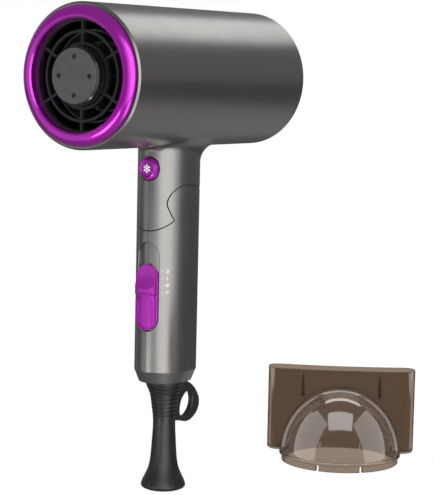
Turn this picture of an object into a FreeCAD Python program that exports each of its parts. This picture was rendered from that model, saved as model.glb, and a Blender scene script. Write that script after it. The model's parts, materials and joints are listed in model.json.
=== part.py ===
import FreeCAD, Part
import math
import os
import re

import Sketcher
from FreeCAD import Placement, Rotation, Vector

# A folding hair dryer and the clip-on nozzle that stands beside it, in millimetres.
# The handle runs down the Z axis, the barrel runs along Y above it, and air leaves towards -Y.

DRIVING_SIZES = [
    # barrel and neck
    ("barrel_radius", 38.0, "outside radius of the barrel"),
    ("barrel_front", -80.5, "Y of the barrel's mouth"),
    ("barrel_rear", 79.5, "Y of the barrel's intake end"),
    ("axis_height", 100.0, "Z of the barrel's axis"),
    ("wall", 2.6, "thickness of the moulded housings"),
    ("mouth_chamfer", 0.9, "chamfer round the barrel's ends"),
    ("blend_front", 2.0, "fillet under the barrel at the front of the neck"),
    ("blend_rear", 16.0, "fillet under the barrel at the back of the neck"),
    ("half_gap", 0.12, "each half housing stops this far from the parting plane"),
    # handle
    ("oval_depth", 19.4, "half the handle's depth along Y"),
    ("oval_width", 16.1, "half the handle's width along X"),
    ("handle_foot", -68.0, "Z of the handle's lower end"),
    ("bevel_rise", 6.5, "height of the bevel at the handle's lower end"),
    ("bevel_inset", 2.6, "inset of the bevel at the handle's lower end"),
    # fold hinge
    ("hinge_back", 15.5, "Y of the fold hinge"),
    ("hinge_height", 38.5, "Z of the fold hinge"),
    ("knuckle_radius", 3.6, "radius of the hinge knuckles"),
    ("knuckle_room", 4.1, "radius of the room left for a knuckle"),
    ("inner_knuckle", 2.9, "half width of the neck's knuckle"),
    ("outer_knuckle", 7.4, "half width over the handle's knuckles"),
    ("knuckle_gap", 0.4, "side gap between the knuckles"),
    ("pin_radius", 1.5, "hinge pin"),
    ("pin_clearance", 0.05, "running clearance round the hinge pin and the motor shaft"),
    ("seam_gap", 0.4, "gap along the fold seam"),
    ("lobe_reach", 31.4, "radius of the seam's lobe about the hinge"),
    # outlet
    ("outlet_radius", 29.9, "radius of the outlet opening"),
    ("ring_outer", 36.3, "outer radius of the outlet ring"),
    ("ring_front", -84.5, "Y of the outlet ring's lip"),
    ("ring_round", 3.3, "depth over which the outlet ring rounds off"),
    ("grille_front", -79.2, "Y of the grille's front face"),
    ("grille_depth", 2.4, "depth of the grille's bars"),
    ("bar_width", 1.4, "width of the grille's bars"),
    ("hub_radius", 15.5, "outside radius of the hub cup"),
    ("hub_rim", 1.1, "width of the bevelled rim round the hub disc"),
    ("hub_face", -85.6, "Y of the hub disc's face"),
    ("tube_radius", 24.0, "outside radius of the heater tube"),
    ("tube_front", -70.0, "Y of the heater tube's mouth"),
    ("tube_rear", -3.0, "Y of the heater tube's back"),
    # motor and fan
    ("motor_radius", 15.0, "outside radius of the motor"),
    ("motor_front", 8.0, "Y of the motor's front"),
    ("motor_rear", 40.0, "Y of the motor's back"),
    ("shaft_radius", 1.6, "motor shaft"),
    ("fan_radius", 33.0, "tip radius of the fan"),
    ("fan_front", 45.0, "Y of the fan's front"),
    ("fan_rear", 59.0, "Y of the fan's back"),
    ("duct_inner", 33.9, "inside radius of the fan duct"),
    # switches
    ("button_height", 50.5, "Z of the cool-shot button"),
    ("button_radius", 6.2, "radius of the cool-shot button"),
    ("button_recess", 6.9, "radius of the dish round the button"),
    ("button_proud", 2.0, "how far the button stands out of the neck"),
    ("button_dish", 0.55, "depth of the hollow in the button's face"),
    ("slot_low", -38.6, "Z of the slider slot's lower end"),
    ("slot_width", 13.5, "width of the slider slot"),
    ("slot_depth", 1.3, "depth of the slider slot"),
    ("slot_chamfer", 0.4, "chamfer round the slider slot"),
    ("slider_top", -1.8, "Z of the slider's upper end at its lowest setting"),
    ("slider_travel", 11.4, "travel of the slider over its four settings"),
    ("slider_rim", 0.8, "width of the rim round the slider's pad"),
    # strain relief
    ("cord_radius", 3.8, "bore for the mains lead"),
    ("boot_foot", -130.0, "Z of the strain relief's flared end"),
    ("loop_thickness", 3.8, "thickness of the hanging loop"),
    ("rib_pitch", 2.3, "pitch of the strain relief's ribs"),
    # nozzle
    ("nozzle_x", 131.8, "X of the nozzle's ring"),
    ("nozzle_y", -34.1, "Y of the nozzle's ring"),
    ("nozzle_z", -88.5, "Z of the nozzle's lower edge"),
    ("nozzle_turn", 29.2, "turn of the nozzle about Z in degrees"),
    ("nozzle_wall", 1.6, "wall of the nozzle"),
    ("nozzle_ring", 29.1, "outside radius of the ring that enters the outlet"),
    ("nozzle_collar", 3.7, "height of the ring below the dome"),
    ("nozzle_flange", 30.2, "radius of the bead above the ring"),
    ("nozzle_blend", 3.0, "fillet between the dome and the flat mouth"),
    ("nozzle_dome", 33.0, "height of the dome above the bead"),
    ("slab_width", 72.8, "width of the flat mouth"),
    ("slab_depth", 14.0, "depth of the flat mouth"),
    ("slab_low", 5.4, "Z of the flat mouth's lower edge"),
    ("slab_high", 46.7, "Z of the flat mouth's opening"),
]

doc = FreeCAD.newDocument("HairDryer")
sheet = doc.addObject("Spreadsheet::Sheet", "Sizes")
for row, (alias, value, meaning) in enumerate(DRIVING_SIZES, start=1):
    sheet.set(f"A{row}", meaning)
    sheet.set(f"B{row}", str(value))
    sheet.setAlias(f"B{row}", alias)
doc.recompute()

NODES = []
X_AXIS, Y_AXIS, Z_AXIS = Vector(1, 0, 0), Vector(0, 1, 0), Vector(0, 0, 1)


def size(alias):
    """The value of a driving dimension."""
    return float(sheet.get(alias))


def bound(formula):
    """The formula as an expression on the sheet's cells."""
    return re.sub(r"[a-z][a-z_]*", lambda word: "Sizes." + word.group(0), formula)


def node(item, name):
    """Mark a document object as a sub-part of its own."""
    item.Label = name
    NODES.append(item)
    return item


# ---- Ways of making a sub-part -------------------------------------------------------------

ON_BARREL = Placement(Vector(0, 0, size("axis_height")), Rotation())
ALONG_Z = Placement(Vector(0, 0, 0), Rotation(X_AXIS, 90))


def profile_sketch(body, plane, points):
    """A closed polygon in a body, each corner held by a pair of formulas."""
    sketch = body.newObject("Sketcher::SketchObject", body.Name + "_profile")
    origin_plane = next(o for o in body.Origin.OriginFeatures if o.Role == plane)
    sketch.AttachmentSupport = [(origin_plane, "")]
    sketch.MapMode = "FlatFace"
    count = len(points)
    rough = [Vector(40 + 9 * math.cos(2 * math.pi * i / count),
                    9 * math.sin(2 * math.pi * i / count), 0) for i in range(count)]
    for i in range(count):
        sketch.addGeometry(Part.LineSegment(rough[i], rough[(i + 1) % count]), False)
    for i in range(count):
        sketch.addConstraint(Sketcher.Constraint("Coincident", i, 2, (i + 1) % count, 1))
    for i, corner in enumerate(points):
        for kind, formula in zip(("DistanceX", "DistanceY"), corner):
            number = sketch.addConstraint(Sketcher.Constraint(kind, -1, 1, i, 1, 1.0))
            sketch.setExpression(f"Constraints[{number}]", bound(formula))
    return sketch


def turned(name, points, placement):
    """A body of revolution about its own Y axis, from (radius, distance along Y) corners."""
    body = doc.addObject("PartDesign::Body", name)
    sketch = profile_sketch(body, "XY_Plane", points)
    feature = body.newObject("PartDesign::Revolution", name + "_turn")
    feature.Profile = sketch
    feature.ReferenceAxis = (sketch, ["V_Axis"])
    feature.Angle = 360
    body.Placement = placement
    return node(body, name)


def block(name, corner, lengths):
    """A Part::Box with its corner and its lengths as formulas."""
    box = doc.addObject("Part::Box", name)
    for prop, formula in zip(("Length", "Width", "Height"), lengths):
        box.setExpression(prop, bound(formula))
    for axis, formula in zip("xyz", corner):
        box.setExpression("Placement.Base." + axis, bound(formula))
    return node(box, name)


def shaped(name, shape, placement=None):
    """A Part::Feature for a shape that no single feature makes."""
    feature = doc.addObject("Part::Feature", name)
    feature.Shape = shape
    if placement:
        feature.Placement = placement
    return node(feature, name)


# ---- Plain solids for the shaped parts -----------------------------------------------------

def rod(radius, start, direction, length):
    return Part.makeCylinder(radius, length, start, direction)


def slab(x_span, y_span, z_span):
    corner = Vector(x_span[0], y_span[0], z_span[0])
    return Part.makeBox(x_span[1] - x_span[0], y_span[1] - y_span[0], z_span[1] - z_span[0], corner)


def oval_face(grow, height):
    """The handle's oval section, grown all round, at a height."""
    centre = Vector(0, 0, height)
    depth, width = size("oval_depth") + grow, size("oval_width") + grow
    ellipse = Part.Ellipse(centre + Y_AXIS * depth, centre + X_AXIS * width, centre)
    return Part.Face(Part.Wire(ellipse.toShape()))


def oval(grow, low, high):
    return oval_face(grow, low).extrude(Z_AXIS * (high - low))


def stadium(width, low, high, y_span):
    """A round-ended slot shape in the XZ plane, as deep as y_span."""
    half = width / 2
    right_low, right_high = Vector(half, y_span[0], low + half), Vector(half, y_span[0], high - half)
    left_low, left_high = Vector(-half, y_span[0], low + half), Vector(-half, y_span[0], high - half)
    edges = [
        Part.makeLine(right_low, right_high),
        Part.Arc(right_high, Vector(0, y_span[0], high), left_high).toShape(),
        Part.makeLine(left_high, left_low),
        Part.Arc(left_low, Vector(0, y_span[0], low), right_low).toShape(),
    ]
    return Part.Face(Part.Wire(edges)).extrude(Y_AXIS * (y_span[1] - y_span[0]))


def ring_about_barrel(outer, inner, start, length):
    base = Vector(0, start, size("axis_height"))
    return rod(outer, base, Y_AXIS, length).cut(rod(inner, base, Y_AXIS, length))


def spokes(count, inner, outer, width, start, length, first_angle):
    """Flat bars that radiate from the barrel's axis."""
    centre = Vector(0, 0, size("axis_height"))
    bars = []
    for i in range(count):
        bar = slab((inner, outer), (start, start + length), (-width / 2, width / 2))
        bar.translate(centre)
        bar.rotate(centre, Y_AXIS, first_angle + 360 * i / count)
        bars.append(bar)
    return bars


def mirrored(shape):
    return shape.mirror(Vector(0, 0, 0), X_AXIS)


def right_side():
    """Everything on the right of the parting plane."""
    return slab((size("half_gap"), 60), (-120, 120), (-150, 180))


# ---- Fold seam -----------------------------------------------------------------------------

def lower_side(grow):
    """Everything on the handle's side of the fold seam, grown by a margin."""
    hinge = Vector(0, size("hinge_back"), size("hinge_height"))
    reach = size("lobe_reach")

    def on_lobe(degrees):
        angle = math.radians(degrees)
        return hinge - Vector(0, math.cos(angle), math.sin(angle)) * reach

    front, cusp = Vector(0, -19.2, 16.4), on_lobe(30.6)
    side, crest = on_lobe(13.5), Vector(0, -3.8, 41.6)
    back = Vector(0, 8.0, 39.4)
    far_low, far_high = Vector(0, 40, -100), Vector(0, 40, 36.6)
    edges = [
        Part.makeLine(Vector(0, -40, 6.0), front),
        Part.Arc(front, Vector(0, -15.2, 19.3), cusp).toShape(),
        Part.Arc(cusp, on_lobe(22), side).toShape(),
        Part.Arc(side, Vector(0, -11.7, 38.8), crest).toShape(),
        Part.Arc(crest, Vector(0, 2.3, 41.0), back).toShape(),
        Part.makeLine(back, far_high),
        Part.makeLine(far_high, far_low),
        Part.makeLine(far_low, Vector(0, -40, -100)),
        Part.makeLine(Vector(0, -40, -100), Vector(0, -40, 6.0)),
    ]
    face = Part.Face(Part.Wire(edges))
    if grow:
        face = face.makeOffset2D(grow)
    face.translate(X_AXIS * -40)
    return face.extrude(X_AXIS * 80)


def hinge_rod(radius, low, high):
    """A cylinder along the fold hinge between two X values."""
    start = Vector(low, size("hinge_back"), size("hinge_height"))
    return rod(radius, start, X_AXIS, high - low)


# ---- Head housing --------------------------------------------------------------------------

def head_half():
    """The right half of the barrel and neck."""
    radius, wall, top = size("barrel_radius"), size("wall"), size("axis_height")
    front, rear = size("barrel_front"), size("barrel_rear")
    barrel = rod(radius, Vector(0, front, top), Y_AXIS, rear - front)
    outside = barrel.fuse(oval(0, 8, top)).common(slab((0, 60), (-120, 120), (0, 180)))

    def under_barrel(edge):
        middle = edge.valueAt((edge.FirstParameter + edge.LastParameter) / 2)
        on_tube = abs(math.hypot(middle.x, middle.z - top) - radius) < 0.01
        oval_value = (middle.x / size("oval_width")) ** 2 + (middle.y / size("oval_depth")) ** 2
        return on_tube and abs(oval_value - 1) < 0.01

    blends = [edge for edge in outside.Edges if under_barrel(edge)]
    radii = [size("blend_front"), size("blend_rear")]
    if blends[0].valueAt(blends[0].FirstParameter).y > 0:
        radii.reverse()
    outside = outside.makeFillet(radii[0], radii[1], blends)

    def barrel_end(edge):
        is_end = isinstance(edge.Curve, Part.Circle) and abs(edge.Curve.Radius - radius) < 0.01
        return is_end and abs(edge.CenterOfMass.y) > 60

    outside = outside.makeChamfer(size("mouth_chamfer"), [e for e in outside.Edges if barrel_end(e)])

    inside = rod(radius - wall, Vector(0, front - 1, top), Y_AXIS, rear - front + 2)
    inside = inside.fuse(oval(-wall, 8, top).cut(lower_side(wall + size("seam_gap"))))
    shell = outside.cut(inside).cut(lower_side(size("seam_gap")))

    back, height = size("hinge_back"), size("hinge_height")
    room = size("knuckle_room")
    web_width = size("inner_knuckle")
    web = slab((0, web_width), (back - 3.5, back + 1.2), (height, height + 12))
    web = web.fuse(slab((0, web_width), (back - 3.5, 16.6), (height + 4.5, height + 12)))
    relief = slab((0, 40), (back - 0.2, 40), (height - 10, height + 4.6))
    shell = shell.cut(relief).cut(hinge_rod(room, web_width, 40))
    shell = shell.fuse(web.common(oval(-0.3, 8, top))).fuse(hinge_rod(size("knuckle_radius"), 0, web_width))
    shell = shell.cut(hinge_rod(size("pin_radius") + size("pin_clearance"), -1, web_width + 1))

    # the dish and the hole for the cool-shot button
    button = Vector(0, -30, size("button_height"))
    dish = rod(size("button_recess"), button, Y_AXIS, 30 - size("oval_depth") + 1.4)
    hole = rod(size("button_radius") + 0.3, button, Y_AXIS, 20)
    shell = shell.cut(dish).cut(hole)

    # the boss that the neck's screw draws together
    boss_at = Vector(0, 10, 55)
    boss = rod(3.4, boss_at, X_AXIS, 20).common(oval(-0.5, 8, top))
    shell = shell.fuse(boss).cut(rod(1.3, boss_at, X_AXIS, 9))
    return shell.common(right_side()).removeSplitter()


right_head = head_half()
NECK_SCREWS = [(10.0, 55.0)]
HANDLE_SCREWS = [(8.0, 14.0), (8.0, -52.0)]
SCREW_SEAT = -12.0


def with_screw_holes(half, places):
    """A left half with a counterbore and a clearance hole at each screw."""
    for y, z in places:
        half = half.cut(rod(1.3, Vector(-30, y, z), X_AXIS, 31))
        half = half.cut(rod(2.9, Vector(-30, y, z), X_AXIS, 30 + SCREW_SEAT))
    return half


def screws(places):
    """One pan-head screw at each place, driven in from the left."""
    made = []
    for y, z in places:
        head = rod(2.7, Vector(SCREW_SEAT - 1.8, y, z), X_AXIS, 1.8)
        head = head.makeChamfer(0.4, [head.Edges[0]])
        cross = slab((SCREW_SEAT - 2, SCREW_SEAT - 1), (y - 1.5, y + 1.5), (z - 0.3, z + 0.3))
        cross = cross.fuse(slab((SCREW_SEAT - 2, SCREW_SEAT - 1), (y - 0.3, y + 0.3), (z - 1.5, z + 1.5)))
        made.append(head.cut(cross).fuse(rod(1.3, Vector(SCREW_SEAT, y, z), X_AXIS, 20.5)))
    return Part.makeCompound(made)


shaped("housing_right", right_head)
shaped("housing_left", with_screw_holes(mirrored(right_head), NECK_SCREWS))
shaped("housing_screw", screws(NECK_SCREWS).Solids[0])


# ---- Outlet --------------------------------------------------------------------------------

def rounded_lip(steps):
    """The outlet ring's front as a quarter of an ellipse, from the lip out to the barrel."""
    corners = []
    for i in range(steps + 1):
        angle = math.radians(90 * i / steps)
        out, back = math.sin(angle), 1 - math.cos(angle)
        corners.append((f"outlet_radius + 0.4 + (ring_outer - outlet_radius - 0.4) * {out:.5f}",
                        f"ring_front + ring_round * {back:.5f}"))
    return corners


turned("outlet_ring", [("outlet_radius - 0.5", "ring_front + 0.6")] + rounded_lip(14) + [
    ("ring_outer - 0.3", "ring_front + ring_round + 0.4"),
    ("barrel_radius - wall", "ring_front + ring_round + 0.4"),
    ("barrel_radius - wall", "ring_front + 12"),
    ("outlet_radius + 0.6", "ring_front + 12"), ("outlet_radius + 0.6", "grille_front"),
    ("outlet_radius - 0.5", "grille_front"),
], ON_BARREL)


def grille():
    """Three rings on six bars."""
    front, depth, bar = size("grille_front"), size("grille_depth"), size("bar_width")
    outer = size("outlet_radius") + 0.6
    rings = [ring_about_barrel(outer, outer - 1.7 * bar, front, depth)]
    for middle in (23.0, 16.6):
        rings.append(ring_about_barrel(middle + bar / 2, middle - bar / 2, front, depth))
    bars = spokes(6, size("hub_radius"), outer - bar / 2, bar, front, depth, 30)
    return rings[0].fuse(rings[1:] + bars).removeSplitter()


shaped("outlet_grille", grille())
turned("hub_cup", [
    ("0", "grille_front + 1"), ("0", "hub_face + 1.6"), ("hub_radius - hub_rim", "hub_face + 1.6"),
    ("hub_radius - hub_rim", "hub_face + 0.3"), ("hub_radius - hub_rim + 0.2", "hub_face + 0.3"),
    ("hub_radius", "hub_face + hub_rim"), ("hub_radius", "grille_front + grille_depth"),
    ("hub_radius - 1.5", "grille_front + grille_depth"), ("hub_radius - 1.5", "grille_front + 1"),
], ON_BARREL)


def hub_disc():
    """The disc on the hub, with a dimple on each of its four sides."""
    face = size("hub_face")
    disc = rod(size("hub_radius") - size("hub_rim") - 0.1, Vector(0, face, size("axis_height")), Y_AXIS, 1.6)
    disc = disc.makeFillet(0.35, [edge for edge in disc.Edges if abs(edge.CenterOfMass.y - face) < 0.01])
    for i in range(4):
        dimple = rod(1.4, Vector(9.9, face - 1, size("axis_height")), Y_AXIS, 1.6)
        dimple.rotate(Vector(0, 0, size("axis_height")), Y_AXIS, 90 * i)
        disc = disc.cut(dimple)
    return disc


shaped("hub_disc", hub_disc())


# ---- Heater --------------------------------------------------------------------------------

turned("heater_tube", [
    ("tube_radius - 0.8", "tube_front"), ("tube_radius", "tube_front"),
    ("tube_radius", "tube_rear - 1.5"), ("barrel_radius - wall", "tube_rear - 1.5"),
    ("barrel_radius - wall", "tube_rear"), ("tube_radius - 0.8", "tube_rear"),
], ON_BARREL)

COIL_RADIUS, COIL_WIRE, COIL_TURNS, COIL_PITCH = 18.0, 0.6, 8, 6.0


def mica_frame():
    """Two crossed mica plates, with a wide foot that grips the tube."""
    start, end = size("tube_front") + 4, size("tube_rear") - 3
    plates = []
    for angle in (0, 90):
        for half_width, low in ((COIL_RADIUS - COIL_WIRE - 0.1, start),
                                (size("tube_radius") - 0.85, end - 5)):
            plate = slab((-half_width, half_width), (low, end), (-0.4, 0.4))
            plate.translate(Vector(0, 0, size("axis_height")))
            plate.rotate(Vector(0, 0, size("axis_height")), Y_AXIS, angle)
            plates.append(plate)
    return plates[0].fuse(plates[1:]).removeSplitter()


def heating_coil():
    """The turns of resistance wire wound round the mica."""
    start = size("tube_front") + 8
    centres = [Vector(0, start + COIL_PITCH * i, size("axis_height")) for i in range(COIL_TURNS)]
    return Part.makeCompound([Part.makeTorus(COIL_RADIUS, COIL_WIRE, c, Y_AXIS) for c in centres])


shaped("mica_frame", mica_frame())
shaped("heating_coil", heating_coil())
block("thermostat", ("4", "tube_front + 36", "axis_height + 4"), ("8", "6", "4.5"))
turned("thermal_fuse", [("0", "tube_front + 30"), ("1.5", "tube_front + 30"),
                        ("1.5", "tube_front + 40"), ("0", "tube_front + 40")],
       Placement(Vector(-7, 0, size("axis_height") + 7), Rotation()))


# ---- Motor and fan -------------------------------------------------------------------------

turned("motor", [
    ("shaft_radius + pin_clearance", "motor_front"), ("4", "motor_front"), ("4", "motor_front + 2"),
    ("motor_radius - 1", "motor_front + 2"), ("motor_radius", "motor_front + 3"),
    ("motor_radius", "motor_rear - 3"), ("motor_radius - 1", "motor_rear - 2"),
    ("4", "motor_rear - 2"), ("4", "motor_rear"), ("shaft_radius + pin_clearance", "motor_rear"),
], ON_BARREL)


def fan_duct():
    """The ring round the fan, carried on vanes that also hold the motor."""
    start, end = size("motor_front") + 10, size("fan_rear") + 4
    outer, inner = size("barrel_radius") - size("wall"), size("duct_inner")
    hub = ring_about_barrel(size("motor_radius") + 1.4, size("motor_radius"), start, 16)
    vanes = spokes(7, size("motor_radius") + 0.7, inner + 0.7, 1.4, start, 16, 12)
    return ring_about_barrel(outer, inner, start, end - start).fuse([hub] + vanes).removeSplitter()


def fan():
    """The impeller: a domed hub with raked blades."""
    front, rear, centre = size("fan_front"), size("fan_rear"), Vector(0, 0, size("axis_height"))
    hub = rod(12.0, centre + Y_AXIS * front, Y_AXIS, rear - front)
    hub = hub.makeFillet(3.0, [edge for edge in hub.Edges if abs(edge.CenterOfMass.y - rear) < 0.01])
    middle = (front + rear) / 2
    sweep = rod(size("fan_radius"), centre + Y_AXIS * front, Y_AXIS, rear - front)
    blades = []
    for i in range(9):
        blade = slab((11, 40), (-9, 9), (-0.6, 0.6))
        blade.rotate(Vector(0, 0, 0), X_AXIS, 38)
        blade.translate(centre + Y_AXIS * middle)
        blade.rotate(centre, Y_AXIS, 40 * i)
        blades.append(blade.common(sweep))
    whole = hub.fuse(blades)
    return whole.cut(rod(size("shaft_radius"), centre + Y_AXIS * (front - 1), Y_AXIS, rear - front - 2))


shaped("fan_duct", fan_duct())
shaped("fan_impeller", fan())
turned("motor_shaft", [("0", "motor_front - 2"), ("shaft_radius", "motor_front - 2"),
                       ("shaft_radius", "fan_rear - 3"), ("0", "fan_rear - 3")], ON_BARREL)
block("ion_generator", ("-6", "1", "axis_height - 32.5"), ("12", "15", "7"))


# ---- Intake end ----------------------------------------------------------------------------

turned("rear_ring", [
    ("barrel_radius - wall", "barrel_rear - 12"), ("barrel_radius - wall", "barrel_rear - 0.4"),
    ("barrel_radius - wall - 1.8", "barrel_rear - 0.4"), ("barrel_radius - wall - 1.8", "barrel_rear - 7"),
    ("barrel_radius - wall - 4.4", "barrel_rear - 7"), ("barrel_radius - wall - 4.4", "barrel_rear - 9"),
    ("barrel_radius - wall - 1.8", "barrel_rear - 9"), ("barrel_radius - wall - 1.8", "barrel_rear - 12"),
], ON_BARREL)


def intake_cover():
    """The lift-off intake cover: a rim, and slotted rings on eight bars."""
    rear = size("barrel_rear")
    outer = size("barrel_radius") - size("wall") - 2.2
    rim = ring_about_barrel(outer, outer - 1.8, rear - 6.6, 6.9)
    rings = [ring_about_barrel(r + 1.0, r - 1.0, rear - 2.4, 2.2) for r in (27.2, 22.8, 18.4, 14.0)]
    centre = rod(9.0, Vector(0, rear - 2.4, size("axis_height")), Y_AXIS, 2.2)
    bars = spokes(8, 5, outer - 0.9, 2.2, rear - 3.4, 2.6, 22.5)
    return rim.fuse(rings + [centre] + bars).removeSplitter()


shaped("intake_cover", intake_cover())
turned("intake_filter", [("0", "barrel_rear - 5.2"), ("barrel_radius - wall - 4", "barrel_rear - 5.2"),
                         ("barrel_radius - wall - 4", "barrel_rear - 4.4"), ("0", "barrel_rear - 4.4")],
       ON_BARREL)


# ---- Cool-shot button ----------------------------------------------------------------------

BUTTON_ALONG_Y = Placement(Vector(0, 0, size("button_height")), Rotation())
turned("cool_button", [
    ("0", "-oval_depth - button_proud + button_dish"),
    ("button_radius - 2.4", "-oval_depth - button_proud + button_dish"),
    ("button_radius - 1.7", "-oval_depth - button_proud + 0.1"),
    ("button_radius - 1.4", "-oval_depth - button_proud"),
    ("button_radius - 1.0", "-oval_depth - button_proud + 0.3"),
    ("button_radius - 0.2", "-oval_depth - 0.4"), ("button_radius", "-oval_depth"),
    ("button_radius", "-oval_depth + 5.2"), ("2.0", "-oval_depth + 5.2"),
    ("2.0", "-oval_depth + 6.4"), ("0", "-oval_depth + 6.4"),
], BUTTON_ALONG_Y)
block("cool_switch", ("-4.5", "-oval_depth + 8.8", "button_height - 5"), ("9", "6", "10"))


# ---- Handle --------------------------------------------------------------------------------

def handle_half():
    """The right half of the handle below the fold seam."""
    wall, foot, rise = size("wall"), size("handle_foot"), size("bevel_rise")
    knee = foot + rise

    def outline(grow):
        bottom = oval_face(grow - size("bevel_inset"), foot).Wires[0]
        top = oval_face(grow, knee).Wires[0]
        return Part.makeLoft([bottom, top], True).fuse(oval(grow, knee, 60))

    def on_surface(edge):
        """True where an edge lies on the handle's oval all along."""
        for share in (0, 0.5, 1):
            at = edge.valueAt(edge.FirstParameter + share * (edge.LastParameter - edge.FirstParameter))
            if abs((at.x / size("oval_width")) ** 2 + (at.y / size("oval_depth")) ** 2 - 1) > 0.001:
                return False
        return True

    # the slider's sunk track, chamfered round its edge
    low, width = size("slot_low"), size("slot_width")
    high = size("slider_top") + size("slider_travel") + 0.4
    track = stadium(width, low, high, (-40, 0)).cut(oval(-size("slot_depth"), -60, 60))
    outside = outline(0).cut(track)
    rims = [edge for edge in outside.Edges if on_surface(edge)
            and edge.BoundBox.ZMin > low - 1 and edge.BoundBox.ZMax < high + 1]
    outside = outside.makeChamfer(size("slot_chamfer"), rims).common(lower_side(0))
    inside = outline(-wall).common(lower_side(-wall)).common(slab((-40, 40), (-40, 40), (foot + 2.4, 60)))
    shell = outside.cut(inside)

    back, height = size("hinge_back"), size("hinge_height")
    inner, outer = size("inner_knuckle") + size("knuckle_gap"), size("outer_knuckle")
    shell = shell.cut(hinge_rod(size("knuckle_room"), 0, inner))
    cheek = slab((inner, outer), (back - 3.5, back + 3.4), (height - 14, height))
    cheek = cheek.common(oval(-0.2, 0, 60)).common(lower_side(-0.1))
    shell = shell.fuse(cheek).fuse(hinge_rod(size("knuckle_radius"), inner, outer))
    shell = shell.cut(hinge_rod(size("pin_radius"), -1, outer + 1))

    # the window for the slider's stem, as long as the stem and its travel
    window = slab((0, 2.1), (-30, -10), (low + 15.0, low + 22.6 + size("slider_travel")))
    shell = shell.cut(window)

    # the strain relief's collar seat, and the screw bosses
    shell = shell.cut(rod(9.0, Vector(0, 0, foot - 1), Z_AXIS, 10))
    for y, z in HANDLE_SCREWS:
        boss = rod(3.4, Vector(0, y, z), X_AXIS, 20).common(oval(-0.5, -60, 60))
        shell = shell.fuse(boss).cut(rod(1.3, Vector(0, y, z), X_AXIS, 9))
    return shell.common(right_side()).removeSplitter()


right_handle = handle_half()
shaped("handle_right", right_handle)
shaped("handle_left", with_screw_holes(mirrored(right_handle), HANDLE_SCREWS))
shaped("handle_screws", screws(HANDLE_SCREWS))
turned("hinge_pin", [("0", "-outer_knuckle"), ("pin_radius", "-outer_knuckle"),
                     ("pin_radius", "outer_knuckle"), ("0", "outer_knuckle")],
       Placement(Vector(0, size("hinge_back"), size("hinge_height")), Rotation(Z_AXIS, -90)))
block("power_switch", ("-5.5", "-10", "slot_low + 4"), ("11", "7.5", "34"))
block("control_board", ("-10", "1", "slot_low - 8"), ("20", "1.6", "54"))


def cord_clamp():
    """The bar that grips the lead's sheath inside the handle."""
    low = size("handle_foot") + 11.5
    return slab((-9, 9), (-6, 4.3), (low, low + 3.5)).cut(
        rod(size("cord_radius") + 0.3, Vector(0, 0, low - 1), Z_AXIS, 6))


shaped("cord_clamp", cord_clamp())


# ---- Slider --------------------------------------------------------------------------------

def slider():
    """The four-way slider: a sunk plate, a thumb ramp, a ridge and a raised pad."""
    low, top = size("slot_low") + 0.3, size("slider_top")
    width = size("slot_width") - 0.5
    beyond_wall = oval(-size("slot_depth") + 0.3, -60, 60)
    plate = stadium(width, low, top, (-40, 0)).common(oval(0.2, -60, 60))
    ridge = [Vector(0, -15, top), Vector(0, -19.8, top), Vector(0, -22.5, -15.3),
             Vector(0, -22.3, -17.0), Vector(0, -20.8, -18.4), Vector(0, -15, -20)]
    outline = Part.Wire([
        Part.makeLine(ridge[0], ridge[1]), Part.Arc(ridge[1], Vector(0, -19.9, -9), ridge[2]).toShape(),
        Part.makeLine(ridge[2], ridge[3]), Part.makeLine(ridge[3], ridge[4]),
        Part.makeLine(ridge[4], ridge[5]), Part.makeLine(ridge[5], ridge[0]),
    ])
    ramp = Part.Face(outline)
    ramp.translate(X_AXIS * -20)
    ramp = ramp.extrude(X_AXIS * 40).common(stadium(width - 0.4, low + 2, top - 0.2, (-40, 0)))
    ramp = ramp.common(oval(3.1, -60, 60))
    pad_width, rim = width - 0.8, size("slider_rim")
    pad = stadium(pad_width, low + 0.4, -15.6, (-40, 0)).common(oval(1.9, -60, 60))
    dish = stadium(pad_width - 2 * rim, low + 0.4 + rim, -18.6, (-40, 0)).cut(oval(0.9, -60, 60))
    face = plate.fuse([ramp, pad]).cut(beyond_wall).cut(dish)
    stem = slab((-1.7, 1.7), (-18.6, -11.2), (low + 15.4, low + 21.4))
    return face.fuse(stem)


shaped("slider", slider())


# ---- Strain relief -------------------------------------------------------------------------

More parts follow.
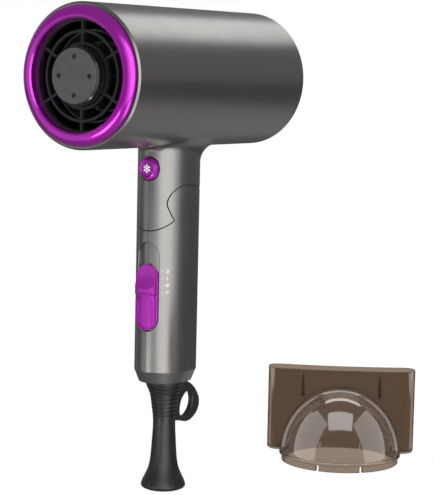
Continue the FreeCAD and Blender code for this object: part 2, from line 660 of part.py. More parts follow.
def boot():
    """The rubber strain relief, ribbed at the top and flared at the foot, with its hanging loop."""
    foot, neck = size("boot_foot"), size("handle_foot")
    side = [(10.9, neck - 1.8), (10.1, neck - 4), (8.7, neck - 7.2), (7.8, neck - 11.3), (7.0, neck - 17),
            (6.35, neck - 22.5), (6.6, neck - 32), (7.3, neck - 42.5), (8.9, neck - 51),
            (12.2, foot + 3.6), (12.5, foot + 2.2), (11.7, foot + 0.8)]
    curve = Part.BSplineCurve()
    curve.interpolate([Vector(r, 0, z) for r, z in side])
    bore, top = size("cord_radius"), neck + 5.8
    corners = [Vector(side[-1][0], 0, side[-1][1]), Vector(9.8, 0, foot), Vector(bore, 0, foot),
               Vector(bore, 0, top), Vector(11.4, 0, top), Vector(11.4, 0, neck + 2.4),
               Vector(9.0, 0, neck + 2.4), Vector(9.0, 0, neck), Vector(10.9, 0, neck),
               Vector(side[0][0], 0, side[0][1])]
    edges = [curve.toShape()] + [Part.makeLine(a, b) for a, b in zip(corners, corners[1:])]
    body = Part.Face(Part.Wire(Part.sortEdges(edges)[0])).revolve(Vector(0, 0, 0), Z_AXIS, 360)

    outer = [(6, -71.5), (14, -70.6), (22.4, -72.7), (30.0, -78.9), (32.6, -84.4), (31.4, -89.4),
             (27.0, -93.4), (20.8, -95.2), (14.0, -93.8), (6, -91.5)]
    inner = [(22.4, -77.7), (25.2, -81.4), (25.0, -85.9), (22.2, -89.7), (17.4, -91.6),
             (13.8, -90.2), (13.2, -86.6), (14.6, -82.0), (18.2, -78.7)]

    def loop(points, half):
        closed = Part.BSplineCurve()
        closed.interpolate([Vector(-half, y, z) for y, z in points], PeriodicFlag=True)
        return Part.Face(Part.Wire(closed.toShape())).extrude(X_AXIS * 2 * half)

    half = size("loop_thickness") / 2
    web = loop(outer, half).cut(loop(inner, half + 2))
    rims = [edge for edge in web.Edges if abs(abs(edge.CenterOfMass.x) - half) < 0.01]
    web = web.makeFillet(half * 0.6, rims)
    body = body.fuse(web.cut(rod(6.0, Vector(0, 0, -100), Z_AXIS, 40)))

    def radius_at(height):
        """The boot's radius at a height, between two points of its side."""
        for (r_high, z_high), (r_low, z_low) in zip(side, side[1:]):
            if z_low <= height <= z_high:
                return r_low + (r_high - r_low) * (height - z_low) / (z_high - z_low)

    for i in range(8):
        middle = neck - 3.6 - size("rib_pitch") * i
        groove = rod(14.0, Vector(0, 0, middle - 0.4), Z_AXIS, 0.8)
        groove = groove.cut(rod(radius_at(middle) - 0.8, Vector(0, 0, middle - 1), Z_AXIS, 2))
        body = body.cut(groove.common(slab((-15, 15), (-15, 6.5), (-100, -60))))
    return body.cut(rod(bore, Vector(0, 0, foot - 1), Z_AXIS, 80))


shaped("strain_relief", boot())


# ---- Nozzle --------------------------------------------------------------------------------

def nozzle():
    """The clip-on nozzle: a slit ring, a dome, and a wide flat mouth, all one hollow moulding."""
    wall, ring, flange = size("nozzle_wall"), size("nozzle_ring"), size("nozzle_flange")
    rise, low, high = size("nozzle_dome"), size("slab_low"), size("slab_high")
    width, depth, dome_foot = size("slab_width"), size("slab_depth"), size("nozzle_collar")

    def dome(radius, height):
        side, peak = Vector(radius, 0, dome_foot), Vector(0, 0, dome_foot + height)
        centre = Vector(0, 0, dome_foot)
        arc = Part.ArcOfEllipse(Part.Ellipse(peak, side, centre), 0, math.pi / 2).toShape()
        outline = Part.Wire([Part.makeLine(centre, side)]
                            + Part.sortEdges([arc, Part.makeLine(peak, centre)])[0])
        return Part.Face(outline).revolve(Vector(0, 0, 0), Z_AXIS, 360)

    def mouth(shrink, bottom, top):
        half, reach = depth / 2 - shrink, width / 2 - shrink
        box = slab((-reach, reach), (-half, half), (bottom, top))
        upright = [e for e in box.Edges if abs(e.tangentAt(e.FirstParameter).z) > 0.99]
        return box.makeFillet(half * 0.82, upright)

    outer_mouth = mouth(0, low, high)
    outer_mouth = outer_mouth.makeFillet(1.6, [e for e in outer_mouth.Edges
                                               if abs(e.BoundBox.ZMax - low) < 0.01])
    outside = outer_mouth.fuse(dome(ring - 0.1, rise))

    def where_dome_meets_mouth(edge):
        spread = edge.BoundBox
        flat = spread.YMax - spread.YMin < 0.01 and abs(abs(spread.YMin) - depth / 2) < 0.01
        return flat and spread.XMax - spread.XMin > ring and spread.ZMax < high - 1

    outside = outside.makeFillet(size("nozzle_blend"),
                                 [edge for edge in outside.Edges if where_dome_meets_mouth(edge)])
    inside = mouth(wall, low + wall, high + 5).fuse(dome(ring - 0.1 - wall, rise - wall))
    collar = rod(ring, Vector(0, 0, 0), Z_AXIS, dome_foot + 0.6)
    bead = rod(flange, Vector(0, 0, dome_foot - 0.4), Z_AXIS, 1.4)
    bead = bead.makeFillet(0.5, bead.Edges[0:1])
    outside = outside.fuse([collar, bead])
    body = outside.cut(inside.fuse(rod(ring - wall, Vector(0, 0, -1), Z_AXIS, dome_foot + 1.2)))

    slit_turn = math.degrees(math.asin(10.7 / ring))
    for turn in (-slit_turn, slit_turn, 180 - slit_turn, 180 + slit_turn):
        slit = slab((-0.75, 0.75), (-40, -20), (-1, dome_foot - 0.8))
        slit.rotate(Vector(0, 0, 0), Z_AXIS, turn)
        body = body.cut(slit)
    scoop = rod(1325.0, Vector(0, -20, high - 0.5 + 1325.0), Y_AXIS, 40)
    return body.cut(scoop).removeSplitter()


def vanes():
    """Two tapered vanes across the flat mouth, between its walls."""
    half = size("slab_depth") / 2 - size("nozzle_wall")
    low, high = size("slab_high") - 14, size("slab_high") - 4.5
    made = []
    for x in (-19, 19):
        corners = [Vector(x - 0.95, -half, low), Vector(x + 0.95, -half, low),
                   Vector(x + 0.45, -half, high), Vector(x - 0.45, -half, high)]
        outline = Part.makePolygon(corners + corners[:1])
        made.append(Part.Face(outline).extrude(Y_AXIS * 2 * half))
    return Part.makeCompound(made)


NOZZLE_PLACE = Placement(Vector(size("nozzle_x"), size("nozzle_y"), size("nozzle_z")),
                         Rotation(Z_AXIS, size("nozzle_turn")))
shaped("diffuser_nozzle", nozzle(), NOZZLE_PLACE)
shaped("nozzle_vanes", vanes(), NOZZLE_PLACE)


# ---- Check and write -----------------------------------------------------------------------

doc.recompute()
for item in doc.Objects:
    if "Invalid" in item.State or "Error" in item.State:
        raise RuntimeError(f"{item.Name} failed: {item.State}")
for item in NODES:
    if item.Shape.isNull() or not item.Shape.isValid() or not item.Shape.Solids:
        raise RuntimeError(f"{item.Label} is not a valid solid")

os.makedirs("parts", exist_ok=True)
for item in NODES:
    item.Shape.exportStep(f"parts/{item.Label}.step")
    box = item.Shape.BoundBox
    print(f"{item.Label}: {len(item.Shape.Solids)} solids, {item.Shape.Volume:.0f} mm3, "
          f"x {box.XMin:.1f}..{box.XMax:.1f} y {box.YMin:.1f}..{box.YMax:.1f} "
          f"z {box.ZMin:.1f}..{box.ZMax:.1f}")
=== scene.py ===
import json
import math

import bpy
from mathutils import Matrix, Vector


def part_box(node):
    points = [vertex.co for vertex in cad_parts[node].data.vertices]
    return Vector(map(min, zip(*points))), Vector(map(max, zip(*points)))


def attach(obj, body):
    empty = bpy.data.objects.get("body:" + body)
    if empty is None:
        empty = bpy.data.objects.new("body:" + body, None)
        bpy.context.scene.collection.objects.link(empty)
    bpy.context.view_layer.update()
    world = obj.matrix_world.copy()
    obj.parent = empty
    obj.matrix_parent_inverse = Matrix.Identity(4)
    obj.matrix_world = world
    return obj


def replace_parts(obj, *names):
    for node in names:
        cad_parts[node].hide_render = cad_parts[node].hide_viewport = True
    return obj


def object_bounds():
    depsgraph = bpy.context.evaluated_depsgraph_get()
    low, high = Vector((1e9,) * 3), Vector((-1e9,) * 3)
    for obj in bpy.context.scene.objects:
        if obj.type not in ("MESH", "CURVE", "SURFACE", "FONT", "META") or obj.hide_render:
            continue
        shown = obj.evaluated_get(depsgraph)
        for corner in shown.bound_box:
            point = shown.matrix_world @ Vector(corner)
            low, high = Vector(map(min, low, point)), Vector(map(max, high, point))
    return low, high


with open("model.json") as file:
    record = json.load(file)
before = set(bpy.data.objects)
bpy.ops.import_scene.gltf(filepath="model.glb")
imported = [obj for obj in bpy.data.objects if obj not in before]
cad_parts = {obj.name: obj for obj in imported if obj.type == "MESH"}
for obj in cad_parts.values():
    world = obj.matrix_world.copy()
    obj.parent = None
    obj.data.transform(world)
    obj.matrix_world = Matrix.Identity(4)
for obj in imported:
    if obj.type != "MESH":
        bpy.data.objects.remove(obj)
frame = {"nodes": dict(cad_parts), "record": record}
cad_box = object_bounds()
MM = 0.001
scene = bpy.context.scene


# ---- Node helpers ---------------------------------------------------------------------------

COLOUR_SPAN = (0.3, 0.7)            # the stretch of a noise value that a colour change takes up
ROUGHNESS_SPAN = (0.35, 0.65)       # the same for a change of roughness
BEVEL_SAMPLES = 8


class Shader:
    """A new node material with one Principled shader, and short ways to add to it."""

    def __init__(self, name, colour, roughness, metallic=0.0):
        self.material = bpy.data.materials.new(name)
        self.material.use_nodes = True
        self.tree = self.material.node_tree
        self.shader = self.tree.nodes["Principled BSDF"]
        self.set(Roughness=roughness, Metallic=metallic)
        self.shader.inputs["Base Color"].default_value = (*colour, 1)

    def set(self, **values):
        """Sets the shader's own sockets; an underscore stands for a space in a socket's name."""
        for key, value in values.items():
            self.shader.inputs[key.replace("_", " ")].default_value = value
        return self

    def node(self, kind, **inputs):
        """Adds a node and sets its sockets, named as in set()."""
        made = self.tree.nodes.new(kind)
        for key, value in inputs.items():
            made.inputs[key.replace("_", " ")].default_value = value
        return made

    def link(self, source, target):
        self.tree.links.new(source, target)

    def position(self, scale=(1, 1, 1)):
        """Object coordinates, which ride with the piece, stretched by scale."""
        place = self.node("ShaderNodeTexCoord")
        mapping = self.node("ShaderNodeMapping")
        mapping.inputs["Scale"].default_value = scale
        self.link(place.outputs["Object"], mapping.inputs["Vector"])
        return mapping.outputs["Vector"]

    def noise(self, scale, detail=3.0, stretch=(1, 1, 1)):
        """A noise value that rides with the piece."""
        made = self.node("ShaderNodeTexNoise", Scale=scale, Detail=detail)
        self.link(self.position(stretch), made.inputs["Vector"])
        return made.outputs["Fac"]

    def vary_colour(self, source, dark, light):
        """Runs the base colour from dark to light over the middle of source's range."""
        ramp = self.node("ShaderNodeValToRGB")
        for stop, position, colour in zip(ramp.color_ramp.elements, COLOUR_SPAN, (dark, light)):
            stop.position = position
            stop.color = (*colour, 1)
        self.link(source, ramp.inputs["Fac"])
        self.link(ramp.outputs["Color"], self.shader.inputs["Base Color"])
        return self

    def vary_roughness(self, source, low, high):
        """Runs the roughness from low to high over the middle of source's range."""
        made = self.node("ShaderNodeMapRange", From_Min=ROUGHNESS_SPAN[0], From_Max=ROUGHNESS_SPAN[1],
                         To_Min=low, To_Max=high)
        self.link(source, made.inputs["Value"])
        self.link(made.outputs["Result"], self.shader.inputs["Roughness"])
        return self

    def round_edges(self, radius):
        """Softens the look of sharp edges. It comes before any bump."""
        made = self.node("ShaderNodeBevel", Radius=radius)
        made.samples = BEVEL_SAMPLES
        self.link(made.outputs["Normal"], self.shader.inputs["Normal"])
        return self

    def bump(self, source, distance, strength):
        """Adds a bump on top of whatever already bends the normal."""
        made = self.node("ShaderNodeBump", Strength=strength, Distance=distance)
        self.link(source, made.inputs["Height"])
        previous = self.shader.inputs["Normal"].links
        if previous:
            self.link(previous[0].from_socket, made.inputs["Normal"])
        self.link(made.outputs["Normal"], self.shader.inputs["Normal"])
        return self


# ---- Materials ------------------------------------------------------------------------------

def metallic_paint():
    """Warm grey paint with fine flake."""
    paint = Shader("housing", (0.34, 0.33, 0.32), 0.28, 1.0)
    paint.round_edges(0.3 * MM)
    flake = paint.noise(5200, 1.0)
    paint.vary_colour(flake, (0.32, 0.31, 0.30), (0.39, 0.38, 0.368))
    paint.vary_roughness(paint.noise(60, 4.0), 0.29, 0.33)
    paint.bump(flake, 0.00001, 0.25)
    return paint.set(Coat_Weight=0.12, Coat_Roughness=0.25).material


def purple_metal():
    """The ring's glossy metallic purple."""
    paint = Shader("ring", (0.74, 0.012, 0.76), 0.22, 0.85)
    paint.vary_colour(paint.noise(4200, 1.0), (0.70, 0.01, 0.72), (0.80, 0.015, 0.82))
    paint.vary_roughness(paint.noise(90, 4.0), 0.2, 0.25)
    return paint.set(Coat_Weight=1.0, Coat_Roughness=0.07, Coat_IOR=1.6).material


def purple_plastic(name, dark, light):
    """Satin moulded purple."""
    plastic = Shader(name, light, 0.32, 0.4)
    plastic.round_edges(0.35 * MM)
    plastic.vary_colour(plastic.noise(300, 3.0), dark, light)
    plastic.vary_roughness(plastic.noise(120, 4.0), 0.28, 0.36)
    plastic.bump(plastic.noise(2600, 2.0), 0.00001, 0.3)
    return plastic.set(Coat_Weight=0.6, Coat_Roughness=0.1, Coat_IOR=1.5).material


def moulded(name, dark, light, roughness, grain=0.00002):
    """Moulded plastic with a fine spark-eroded grain."""
    plastic = Shader(name, light, roughness)
    plastic.vary_colour(plastic.noise(240, 4.0), dark, light)
    plastic.vary_roughness(plastic.noise(160, 5.0), roughness - 0.05, roughness + 0.05)
    plastic.bump(plastic.noise(3000, 2.0), grain, 0.5)
    return plastic.material


def rubber():
    """Matt black rubber, a little dusty."""
    skin = Shader("rubber", (0.014, 0.014, 0.015), 0.4)
    skin.round_edges(0.3 * MM)
    skin.vary_colour(skin.noise(90, 5.0), (0.009, 0.009, 0.01), (0.02, 0.02, 0.021))
    skin.vary_roughness(skin.noise(220, 5.0), 0.32, 0.42)
    skin.bump(skin.noise(1800, 3.0), 0.00003, 0.4)
    return skin.set(Specular_IOR_Level=0.8).material


def metal(name, dark, light, roughness, stretch=(1, 1, 1)):
    """Bare metal with drawn marks along one way."""
    bare = Shader(name, light, roughness, 1.0)
    marks = bare.noise(900, 3.0, stretch)
    bare.vary_colour(marks, dark, light)
    bare.vary_roughness(marks, roughness - 0.06, roughness + 0.08)
    return bare.bump(marks, 0.00001, 0.3).material


def mica():
    """Flaky mica sheet."""
    sheet = Shader("mica", (0.08, 0.076, 0.07), 0.3, 0.1)
    flakes = sheet.noise(180, 6.0, (1, 0.4, 1))
    sheet.vary_colour(flakes, (0.03, 0.028, 0.025), (0.13, 0.125, 0.115))
    return sheet.bump(flakes, 0.0001, 0.5).material


def circuit_board():
    """Green lacquer over copper tracks."""
    board = Shader("board", (0.02, 0.16, 0.06), 0.3)
    tracks = board.node("ShaderNodeTexBrick", Scale=160.0, Mortar_Size=0.03)
    board.link(board.position(), tracks.inputs["Vector"])
    tracks.inputs["Color1"].default_value = (0.015, 0.14, 0.05, 1)
    tracks.inputs["Color2"].default_value = (0.02, 0.17, 0.06, 1)
    tracks.inputs["Mortar"].default_value = (0.06, 0.30, 0.10, 1)
    board.link(tracks.outputs["Color"], board.shader.inputs["Base Color"])
    return board.bump(tracks.outputs["Fac"], 0.00003, 0.5).material


def woven_wire():
    """The intake filter's fine woven mesh."""
    mesh = Shader("mesh", (0.2, 0.2, 0.2), 0.4, 0.8)
    weave = mesh.node("ShaderNodeTexChecker", Scale=1600.0)
    mesh.link(mesh.position(), weave.inputs["Vector"])
    weave.inputs["Color1"].default_value = (0.05, 0.05, 0.05, 1)
    weave.inputs["Color2"].default_value = (0.30, 0.30, 0.30, 1)
    mesh.link(weave.outputs["Color"], mesh.shader.inputs["Base Color"])
    return mesh.bump(weave.outputs["Fac"], 0.00005, 0.8).material


def smoke():
    """Smoky brown clear plastic."""
    clear = Shader("smoke", (0.30, 0.225, 0.17), 0.05)
    clear.vary_roughness(clear.noise(70, 4.0), 0.04, 0.09)
    return clear.set(Transmission_Weight=0.94, IOR=1.45, Coat_Weight=0.6).material


MATERIALS = {
    "housing": metallic_paint(),
    "ring": purple_metal(),
    "black_gloss": moulded("black_gloss", (0.008, 0.008, 0.008), (0.014, 0.014, 0.014), 0.16, 0.000002),
    "hub_grey": moulded("hub_grey", (0.11, 0.11, 0.108), (0.135, 0.135, 0.132), 0.5),
    "mica": mica(),
    "coil": metal("coil", (0.30, 0.27, 0.24), (0.48, 0.43, 0.38), 0.35),
    "steel": metal("steel", (0.45, 0.45, 0.45), (0.65, 0.65, 0.64), 0.3, (1, 0.1, 1)),
    "black_plastic": moulded("black_plastic", (0.012, 0.012, 0.012), (0.022, 0.022, 0.022), 0.42),
    "brass": metal("brass", (0.55, 0.38, 0.13), (0.72, 0.53, 0.22), 0.3),
    "mesh": woven_wire(),
    "button": purple_plastic("button", (0.34, 0.006, 0.35), (0.42, 0.01, 0.44)),
    "slider": purple_plastic("slider", (0.56, 0.022, 0.58), (0.64, 0.03, 0.66)),
    "rubber": rubber(),
    "board": circuit_board(),
    "smoke": smoke(),
    "ceramic": moulded("ceramic", (0.62, 0.60, 0.54), (0.75, 0.73, 0.68), 0.55),
}

for row in frame["record"]["subparts"]:
    cad_object = frame["nodes"][row["node"]]
    for material_slot in cad_object.material_slots:
        material_slot.material = MATERIALS[row["material_slot"]]


# ---- Pieces ---------------------------------------------------------------------------------

def mesh_piece(name, vertices, faces, material, body, slot):
    """A mesh in the row frame that rides on a body."""
    mesh = bpy.data.meshes.new(name)
    mesh.from_pydata([tuple(vertex) for vertex in vertices], [], faces)
    mesh.update()
    mesh.materials.append(material)
    piece = bpy.data.objects.new(name, mesh)
    scene.collection.objects.link(piece)
    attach(piece, body)
    return piece


def tube(points, radius, sides=8, closed=False):
    """Vertices and faces of a round tube along a list of points, capped when open."""
    count = len(points)
    vertices, faces = [], []
    normal = None
    for i, point in enumerate(points):
        ahead = points[(i + 1) % count] if closed or i + 1 < count else point
        behind = points[i - 1] if closed or i > 0 else point
        along = (ahead - behind).normalized()
        if normal is None:
            normal = along.orthogonal().normalized()
        normal = (normal - along * normal.dot(along)).normalized()
        side = along.cross(normal)
        for j in range(sides):
            turn = 2 * math.pi * j / sides
            vertices.append(point + normal * (radius * math.cos(turn)) + side * (radius * math.sin(turn)))
    for i in range(count if closed else count - 1):
        low, high = i * sides, ((i + 1) % count) * sides
        for j in range(sides):
            k = (j + 1) % sides
            faces.append((low + j, low + k, high + k, high + j))
    if not closed:
        faces.append(tuple(reversed(range(sides))))
        faces.append(tuple(range((count - 1) * sides, count * sides)))
    return vertices, faces


def merge(parts):
    """Several (vertices, faces) pairs as one."""
    vertices, faces = [], []
    for part_vertices, part_faces in parts:
        offset = len(vertices)
        vertices += part_vertices
        faces += [tuple(index + offset for index in face) for face in part_faces]
    return vertices, faces


def smooth(piece):
    """Smooth shading over the whole piece."""
    piece.data.polygons.foreach_set("use_smooth", [True] * len(piece.data.polygons))
    return piece


# ---- Printed marks --------------------------------------------------------------------------

OVAL_DEPTH, OVAL_WIDTH = 19.4 * MM, 16.1 * MM       # half of the handle's oval, from front to back and across
PRINT_THICK = 0.05 * MM
LINE = 0.27 * MM
THIN_LINE = LINE * 0.7
BUTTON_DISH = 0.55 * MM             # depth of the cool-shot button's dish
SETTING_HEIGHTS = (-5.3 * MM, -9.1 * MM, -13.0 * MM, -16.9 * MM)
DOT_ACROSS, SIGN_ACROSS = 8.7 * MM, 10.6 * MM       # X of the dots and of the signs beside them
NUMERAL_HALF = 0.85 * MM            # half of a numeral's height

white_print_painted_glow = Shader("white_print_painted_glow", (0.9, 0.9, 0.9), 0.5)
# The emission is a painted glow: it makes the white print brighter than the lamps light it.
white_print_painted_glow.set(Emission_Color=(1, 1, 1, 1), Emission_Strength=0.3)
white_print_painted_glow.vary_colour(white_print_painted_glow.noise(900, 3.0), (0.84, 0.84, 0.84), (0.94, 0.94, 0.94))


def stroke(start, end, width, place):
    """A thin raised bar from start to end, in a surface's own (sideways, up) coordinates."""
    along = (Vector(end) - Vector(start)).normalized()
    across = Vector((-along.y, along.x)) * (width / 2)
    corners = [Vector(start) - across, Vector(end) - across, Vector(end) + across, Vector(start) + across]
    low = [place(corner.x, corner.y, 0.0) for corner in corners]
    high = [place(corner.x, corner.y, PRINT_THICK) for corner in corners]
    faces = [(0, 1, 2, 3), (7, 6, 5, 4)] + [(i, i + 4, (i + 1) % 4 + 4, (i + 1) % 4) for i in range(4)]
    return low + high, faces


def polygon_strokes(radius, sides, width, place):
    """A ring of strokes."""
    points = [(radius * math.cos(2 * math.pi * i / sides),
               radius * math.sin(2 * math.pi * i / sides)) for i in range(sides)]
    return [stroke(points[i], points[(i + 1) % sides], width, place) for i in range(sides)]


def snowflake(radius, width, place):
    """Six branched arms."""
    strokes = []
    for i in range(6):
        turn = math.radians(60 * i + 90)
        arm = Vector((math.cos(turn), math.sin(turn)))
        strokes.append(stroke(arm * 0, arm * radius, width, place))
        for lean in (-50, 50):
            twig = Vector((math.cos(turn + math.radians(lean)), math.sin(turn + math.radians(lean))))
            for share, length in ((0.45, 0.34), (0.72, 0.26)):
                root = arm * (radius * share)
                strokes.append(stroke(root, root + twig * (radius * length), width * 0.8, place))
    return strokes


def numeral(bars, serif, place):
    """A Roman numeral: upright bars between two serifs that reach out by serif."""
    low, high = -NUMERAL_HALF, NUMERAL_HALF
    uprights = [stroke((x, low), (x, high), LINE, place) for x in bars]
    return uprights + [stroke((-serif, z), (serif, z), THIN_LINE, place) for z in (low, high)]


def on_button(sideways, up, lift):
    """A place on the floor of the button's dish."""
    low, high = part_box("cool_button")
    return Vector((sideways, low.y + BUTTON_DISH - lift, (low.z + high.z) / 2 + up))


def on_handle(centre_x, centre_z):
    """A place function for the handle's oval surface."""
    middle = math.asin(centre_x / OVAL_WIDTH)
    pace = math.hypot(OVAL_WIDTH * math.cos(middle), OVAL_DEPTH * math.sin(middle))

    def place(sideways, up, lift):
        turn = middle + sideways / pace
        return Vector(((OVAL_WIDTH + lift) * math.sin(turn), -(OVAL_DEPTH + lift) * math.cos(turn),
                       centre_z + up))
    return place


def add_marks():
    """The snowflake on the button, and the four settings beside the slider."""
    flake = merge(snowflake(2.4 * MM, 0.34 * MM, on_button))
    mesh_piece("snowflake_mark", *flake, white_print_painted_glow.material, "button", "ceramic")
    fast, slow, cool, off = [on_handle(SIGN_ACROSS, height) for height in SETTING_HEIGHTS]
    signs = (
        numeral((-0.4 * MM, 0.4 * MM), NUMERAL_HALF, fast),
        numeral((0,), 0.45 * MM, slow),
        snowflake(1.15 * MM, THIN_LINE, cool),
        polygon_strokes(0.75 * MM, 16, LINE, off),
    )
    settings = []
    for height, sign in zip(SETTING_HEIGHTS, signs):
        settings += polygon_strokes(0.18 * MM, 8, 0.36 * MM, on_handle(DOT_ACROSS, height))
        settings += sign
    mesh_piece("setting_marks", *merge(settings), white_print_painted_glow.material, "handle", "ceramic")


add_marks()


# ---- Fine pieces ----------------------------------------------------------------------------

COIL_WIRE = 0.6 * MM                # radius of the resistance wire
COIL_TURNS, COIL_STEPS = 8, 40      # turns of the coil, and points in each turn
WEAVE_PITCH = 2.0 * MM
WEAVE_WIRE = 0.17 * MM              # radius of the filter's wires
WEAVE_WAVE = 0.19 * MM              # how far they rise and fall
WEAVE_RIM = 0.38 * MM               # radius of the wire round the filter
WEAVE_RIM_STEPS = 72
SHORTEST_RUN = 0.1 * MM             # points of a wire that are closer than this become one
DOT_CIRCLE = 9.9 * MM               # radius of the circle that the hub's dimples lie on
# radius, thickness and depth of the painted-shade discs in the hub's dimples
DOT_RADIUS, DOT_THICK, DOT_DEPTH = 1.36 * MM, 0.15 * MM, 0.42 * MM


def add_heating_coil():
    """The resistance wire as one wound helix."""
    low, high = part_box("heating_coil")
    centre = (low + high) / 2
    radius = (high.x - low.x) / 2 - COIL_WIRE
    start, end = low.y + COIL_WIRE, high.y - COIL_WIRE
    steps = COIL_TURNS * COIL_STEPS
    points = []
    for i in range(steps + 1):
        turn = 2 * math.pi * i / COIL_STEPS
        along = start + (end - start) * i / steps
        points.append(Vector((centre.x + radius * math.cos(turn), along, centre.z + radius * math.sin(turn))))
    coil = mesh_piece("coil_winding", *tube(points, COIL_WIRE), MATERIALS["coil"], "head", "coil")
    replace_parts(smooth(coil), "heating_coil")


def woven_line(line, reach, across):
    """Points of one wire of the filter, as (along, lift) pairs: it passes over and under by turns."""
    first, last = math.ceil(-reach / WEAVE_PITCH), math.floor(reach / WEAVE_PITCH)
    stations = [-reach] + [k * WEAVE_PITCH for k in range(first, last + 1)] + [reach]
    points = []
    for station in stations:
        over = (round(station / WEAVE_PITCH) + line + across) % 2
        points.append((station, WEAVE_WAVE if over else -WEAVE_WAVE))
    return points


def add_filter_mesh():
    """The intake filter as woven wires, with a rim."""
    low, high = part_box("intake_filter")
    centre = (low + high) / 2
    radius = (high.x - low.x) / 2 - 0.2 * MM
    wires = []
    lines = int(radius / WEAVE_PITCH)
    for across in (False, True):
        for line in range(-lines, lines + 1):
            offset = line * WEAVE_PITCH
            reach = math.sqrt(radius ** 2 - offset ** 2)
            points = []
            for along, lift in woven_line(line, reach, across):
                x, z = (offset, along) if across else (along, offset)
                points.append(Vector((centre.x + x, centre.y + lift, centre.z + z)))
            points = [p for i, p in enumerate(points) if i == 0 or (p - points[i - 1]).length > SHORTEST_RUN]
            if len(points) > 1:
                wires.append(tube(points, WEAVE_WIRE, 5))
    rim = []
    for i in range(WEAVE_RIM_STEPS):
        turn = 2 * math.pi * i / WEAVE_RIM_STEPS
        rim.append(Vector((centre.x + radius * math.cos(turn), centre.y, centre.z + radius * math.sin(turn))))
    wires.append(tube(rim, WEAVE_RIM, 8, closed=True))
    mesh = mesh_piece("filter_weave", *merge(wires), MATERIALS["mesh"], "cover", "mesh")
    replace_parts(smooth(mesh), "intake_filter")


def add_hub_shade_discs():
    """Dark discs at the bottom of the hub's four dimples: painted shade, darker than the dimples' depth makes
    them.
    """
    low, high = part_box("hub_disc")
    centre = (low + high) / 2
    discs = []
    for i in range(4):
        turn = math.pi / 2 * i
        middle = Vector((centre.x + DOT_CIRCLE * math.cos(turn), low.y + DOT_DEPTH,
                         centre.z + DOT_CIRCLE * math.sin(turn)))
        discs.append(tube([middle, middle + Vector((0, DOT_THICK, 0))], DOT_RADIUS, 24))
    mesh_piece("hub_painted_shade_discs", *merge(discs), MATERIALS["black_plastic"], "head", "black_plastic")


add_heating_coil()
add_filter_mesh()
add_hub_shade_discs()


# ---- Camera, light and stage ----------------------------------------------------------------

SENSOR = 36.0                       # mm, along the frame's longer side
FOCAL_SHARE = 3.4476                # focal length over the frame's longer side
CAMERA_AT = Vector((0.54226, -0.77107, 0.10495))
AZIMUTH, PITCH, ROLL = math.radians(33.43), math.radians(5.96), math.radians(1.28)
FLOOR_HALF = 9.0                    # half of the floor's side
FLOOR_DROP = 0.45                   # how far the floor lies below the object
FLOOR_GREY = 0.4                    # what the floor throws back at the object


def add_camera():
    """The camera, at the fitted place and turn."""
    data = bpy.data.cameras.new("camera")
    data.sensor_width = SENSOR
    data.lens = FOCAL_SHARE * SENSOR
    data.clip_end = 50
    forward = Vector((-math.sin(AZIMUTH) * math.cos(PITCH), math.cos(AZIMUTH) * math.cos(PITCH),
                      -math.sin(PITCH)))
    level = Vector((math.cos(AZIMUTH), math.sin(AZIMUTH), 0))
    upward = level.cross(forward)
    right = level * math.cos(ROLL) + upward * math.sin(ROLL)
    up = upward * math.cos(ROLL) - level * math.sin(ROLL)
    camera = bpy.data.objects.new("camera", data)
    turn = Matrix((right, up, -forward)).transposed()
    camera.matrix_world = Matrix.Translation(CAMERA_AT) @ turn.to_4x4()
    scene.collection.objects.link(camera)
    scene.camera = camera


def softbox(name, place, target, width, height, radiance, receivers):
    """A rectangular area light that faces a point, and lights one collection."""
    data = bpy.data.lights.new(name, "AREA")
    data.shape = "RECTANGLE"
    data.size, data.size_y = width, height
    data.energy = radiance * math.pi * width * height
    light = bpy.data.objects.new(name, data)
    light.location = place
    light.rotation_euler = (Vector(target) - Vector(place)).to_track_quat("-Z", "Y").to_euler()
    light.visible_camera = False
    light.visible_transmission = False
    light.light_linking.receiver_collection = receivers
    scene.collection.objects.link(light)


def collection_of(name, items):
    """A collection outside the scene, which only names what a light falls on."""
    made = bpy.data.collections.new(name)
    for item in items:
        made.objects.link(item)
    return made


def white_to_camera(tree, lit, seen):
    """Mixes two shaders of the stage: lit lights the object, and seen shows round and through it."""
    path = tree.nodes.new("ShaderNodeLightPath")
    looked_at = tree.nodes.new("ShaderNodeMath")
    looked_at.operation = "MAXIMUM"
    mix = tree.nodes.new("ShaderNodeMixShader")
    for source, target in (
            (path.outputs["Is Camera Ray"], looked_at.inputs[0]),
            (path.outputs["Is Transmission Ray"], looked_at.inputs[1]),
            (looked_at.outputs[0], mix.inputs["Fac"]),
            (lit.outputs[0], mix.inputs[1]),
            (seen.outputs[0], mix.inputs[2])):
        tree.links.new(source, target)
    return mix.outputs["Shader"]


def add_floor():
    """A white floor well below the object."""
    half, low = FLOOR_HALF, cad_box[0][2] - FLOOR_DROP
    mesh = bpy.data.meshes.new("floor")
    mesh.from_pydata([(-half, -half, low), (half, -half, low), (half, half, low), (-half, half, low)],
                     [], [(0, 1, 2, 3)])
    material = bpy.data.materials.new("floor")
    material.use_nodes = True
    tree = material.node_tree
    paint = tree.nodes["Principled BSDF"]
    paint.inputs["Base Color"].default_value = (FLOOR_GREY, FLOOR_GREY, FLOOR_GREY, 1)
    paint.inputs["Roughness"].default_value = 0.9
    glow = tree.nodes.new("ShaderNodeEmission")
    glow.inputs["Strength"].default_value = 1.0
    tree.links.new(white_to_camera(tree, paint, glow), tree.nodes["Material Output"].inputs["Surface"])
    mesh.materials.append(material)
    floor = bpy.data.objects.new("floor", mesh)
    scene.collection.objects.link(floor)


def add_world():
    """A dim studio that shows as a white backdrop."""
    world = bpy.data.worlds.new("studio")
    world.use_nodes = True
    tree = world.node_tree
    room = tree.nodes["Background"]
    room.inputs["Color"].default_value = (1, 1, 1, 1)
    room.inputs["Strength"].default_value = ROOM_LIGHT
    backdrop = tree.nodes.new("ShaderNodeBackground")
    backdrop.inputs["Color"].default_value = (1, 1, 1, 1)
    tree.links.new(white_to_camera(tree, room, backdrop), tree.nodes["World Output"].inputs["Surface"])
    scene.world = world


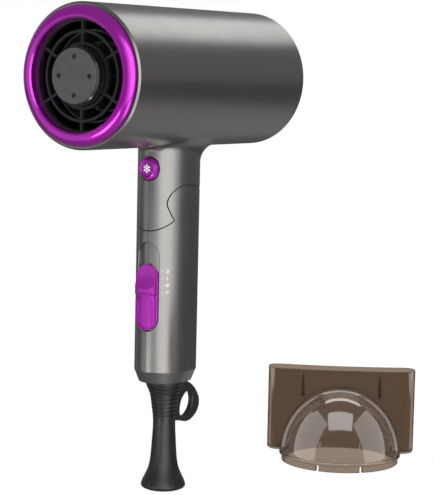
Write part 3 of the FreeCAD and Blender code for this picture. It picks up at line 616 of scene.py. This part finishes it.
def toward(azimuth, elevation, distance, centre):
    """A point seen from centre at an azimuth (from -Y toward +X) and an elevation."""
    turn, rise = math.radians(azimuth), math.radians(elevation)
    flat = distance * math.cos(rise)
    return Vector(centre) + Vector((flat * math.sin(turn), -flat * math.cos(turn),
                                    distance * math.sin(rise)))


ROOM_LIGHT = 0.2
DRYER_CENTRE = Vector((0, 0, 0.05))
DRYER_SOFTBOXES = (
    # name, azimuth, elevation, distance, width, height, radiance
    ("key", 48, 5, 1.5, 1.65, 2.0, 0.8),
    ("wide_fill", 46, 5, 1.55, 3.4, 2.0, 0.64),
    ("top_back", 178, 40, 1.5, 0.8, 0.6, 1.4),
    ("front_left", -46, -6, 1.6, 0.75, 0.9, 0.38),
    ("front_low", -17, -20, 1.1, 0.42, 0.2, 3.2),
    ("low_front", 55, -36, 0.85, 0.5, 0.35, 1.5),
    ("low_back", 165, -36, 0.9, 0.9, 0.5, 0.16),
    ("side_strip", -95, 5, 1.5, 0.14, 1.2, 0.5),
    ("left_rim", -128, 5, 1.5, 0.25, 1.6, 0.25),
)
NOZZLE_SOFTBOXES = (
    # these give the dome its own windows of light
    ("nozzle_top", 29, 59, 1.1, 0.95, 0.7, 4.5),
    ("nozzle_left", -46, 22, 1.2, 1.3, 1.5, 2.2),
    ("nozzle_right", 104, 22, 1.2, 1.3, 1.5, 2.2),
    ("nozzle_back", -151, 58, 1.1, 1.25, 0.7, 5.5),
)
GLINT_SOFTBOXES = (
    # this puts a glint on the lower rims of the hub and of the button
    ("glint", 34, -58, 0.58, 0.24, 0.2, 14.0),
)


def add_softboxes():
    """Three groups of softboxes: for the dryer, for the nozzle, and for the glints."""
    nozzle_objects = [frame["nodes"][name] for name in ("diffuser_nozzle", "nozzle_vanes")]
    glossy_objects = [frame["nodes"][name] for name in ("hub_cup", "cool_button")]
    dryer_objects = [item for item in scene.objects if item.type == "MESH" and item not in nozzle_objects]
    nozzle_low, nozzle_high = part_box("diffuser_nozzle")
    nozzle_centre = (nozzle_low + nozzle_high) / 2
    for softboxes, centre, receivers in (
            (DRYER_SOFTBOXES, DRYER_CENTRE, collection_of("lit_dryer", dryer_objects)),
            (NOZZLE_SOFTBOXES, nozzle_centre, collection_of("lit_nozzle", nozzle_objects)),
            (GLINT_SOFTBOXES, DRYER_CENTRE, collection_of("lit_gloss", glossy_objects))):
        for name, azimuth, elevation, distance, width, height, radiance in softboxes:
            place = toward(azimuth, elevation, distance, centre)
            softbox(name, place, centre, width, height, radiance, receivers)


add_camera()
add_floor()
add_world()
add_softboxes()
scene.view_settings.view_transform = "Standard"
